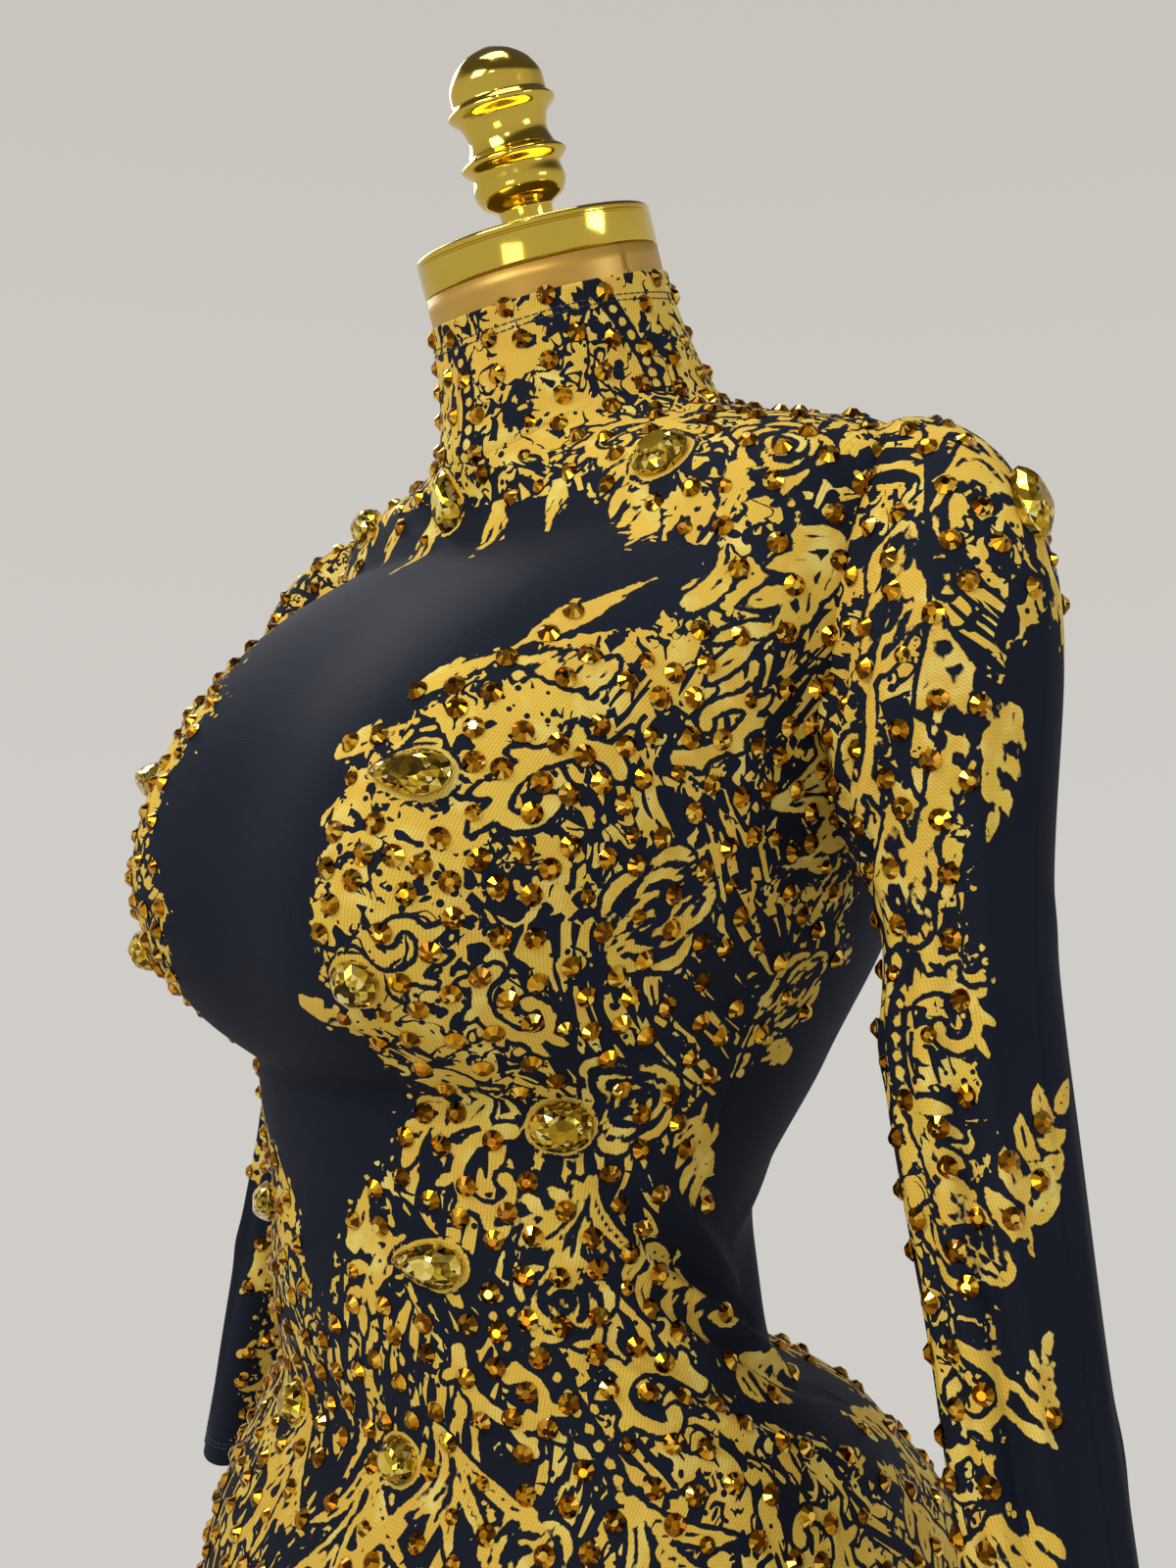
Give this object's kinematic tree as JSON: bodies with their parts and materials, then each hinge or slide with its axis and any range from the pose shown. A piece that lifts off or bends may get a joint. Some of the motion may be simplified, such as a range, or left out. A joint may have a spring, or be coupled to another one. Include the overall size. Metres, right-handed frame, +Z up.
{
  "type": "rhinestone stage jumpsuit on a dress form",
  "caption": "Long-sleeved stage jumpsuit with a funnel collar, gold baroque print and crystals, worn by a limbless dress form on a round base.",
  "frame": {"origin": "on the floor, under the middle of the whole piece's footprint", "axes": "+Z up, the front faces -Y, the wearer's left side is +X"},
  "size_m": [0.5826, 0.403, 1.5405],
  "materials": {
    "stretch_knit": "navy-black stretch knit with a mustard gold print, soft satin sheen",
    "crystal": "foil-backed topaz glass, cut and polished",
    "gold_plate": "polished yellow gold plating",
    "form_skin": "matte tan-gold jersey cover",
    "zip_tape": "black nylon coil zip",
    "steel": "brushed steel stand"
  },
  "bodies": {
    "garment": {"front": "stretch_knit", "back_left": "stretch_knit", "back_right": "stretch_knit", "collar": "stretch_knit", "sleeve_left": "stretch_knit", "sleeve_right": "stretch_knit", "stone_bust_left": "crystal", "stone_bust_right": "crystal", "stone_under_bust_left": "crystal", "stone_under_bust_right": "crystal", "stone_rib_left": "crystal", "stone_rib_right": "crystal", "stone_waist_left": "crystal", "stone_waist_right": "crystal", "stone_hip_left": "crystal", "stone_hip_right": "crystal", "stone_chest_left": "crystal", "stone_chest_right": "crystal", "stone_throat": "crystal", "stone_shoulder_left": "crystal", "stone_shoulder_right": "crystal", "zip_tape": "zip_tape", "zip_slider": "gold_plate", "form_body": "form_skin", "form_cap": "gold_plate", "form_finial": "gold_plate", "stand_base": "steel", "stand_pole": "steel", "stand_flange": "steel"},
    "pull_tab": {"zip_pull": "gold_plate"}
  },
  "joints": [
    {"name": "pull_tab_hinge", "type": "hinge", "parent": "garment", "child": "pull_tab", "pos_m": [0.01182, 0.06828, 1.4463], "axis": [1, 0, 0], "range_deg": [0, 120]}
  ]
}
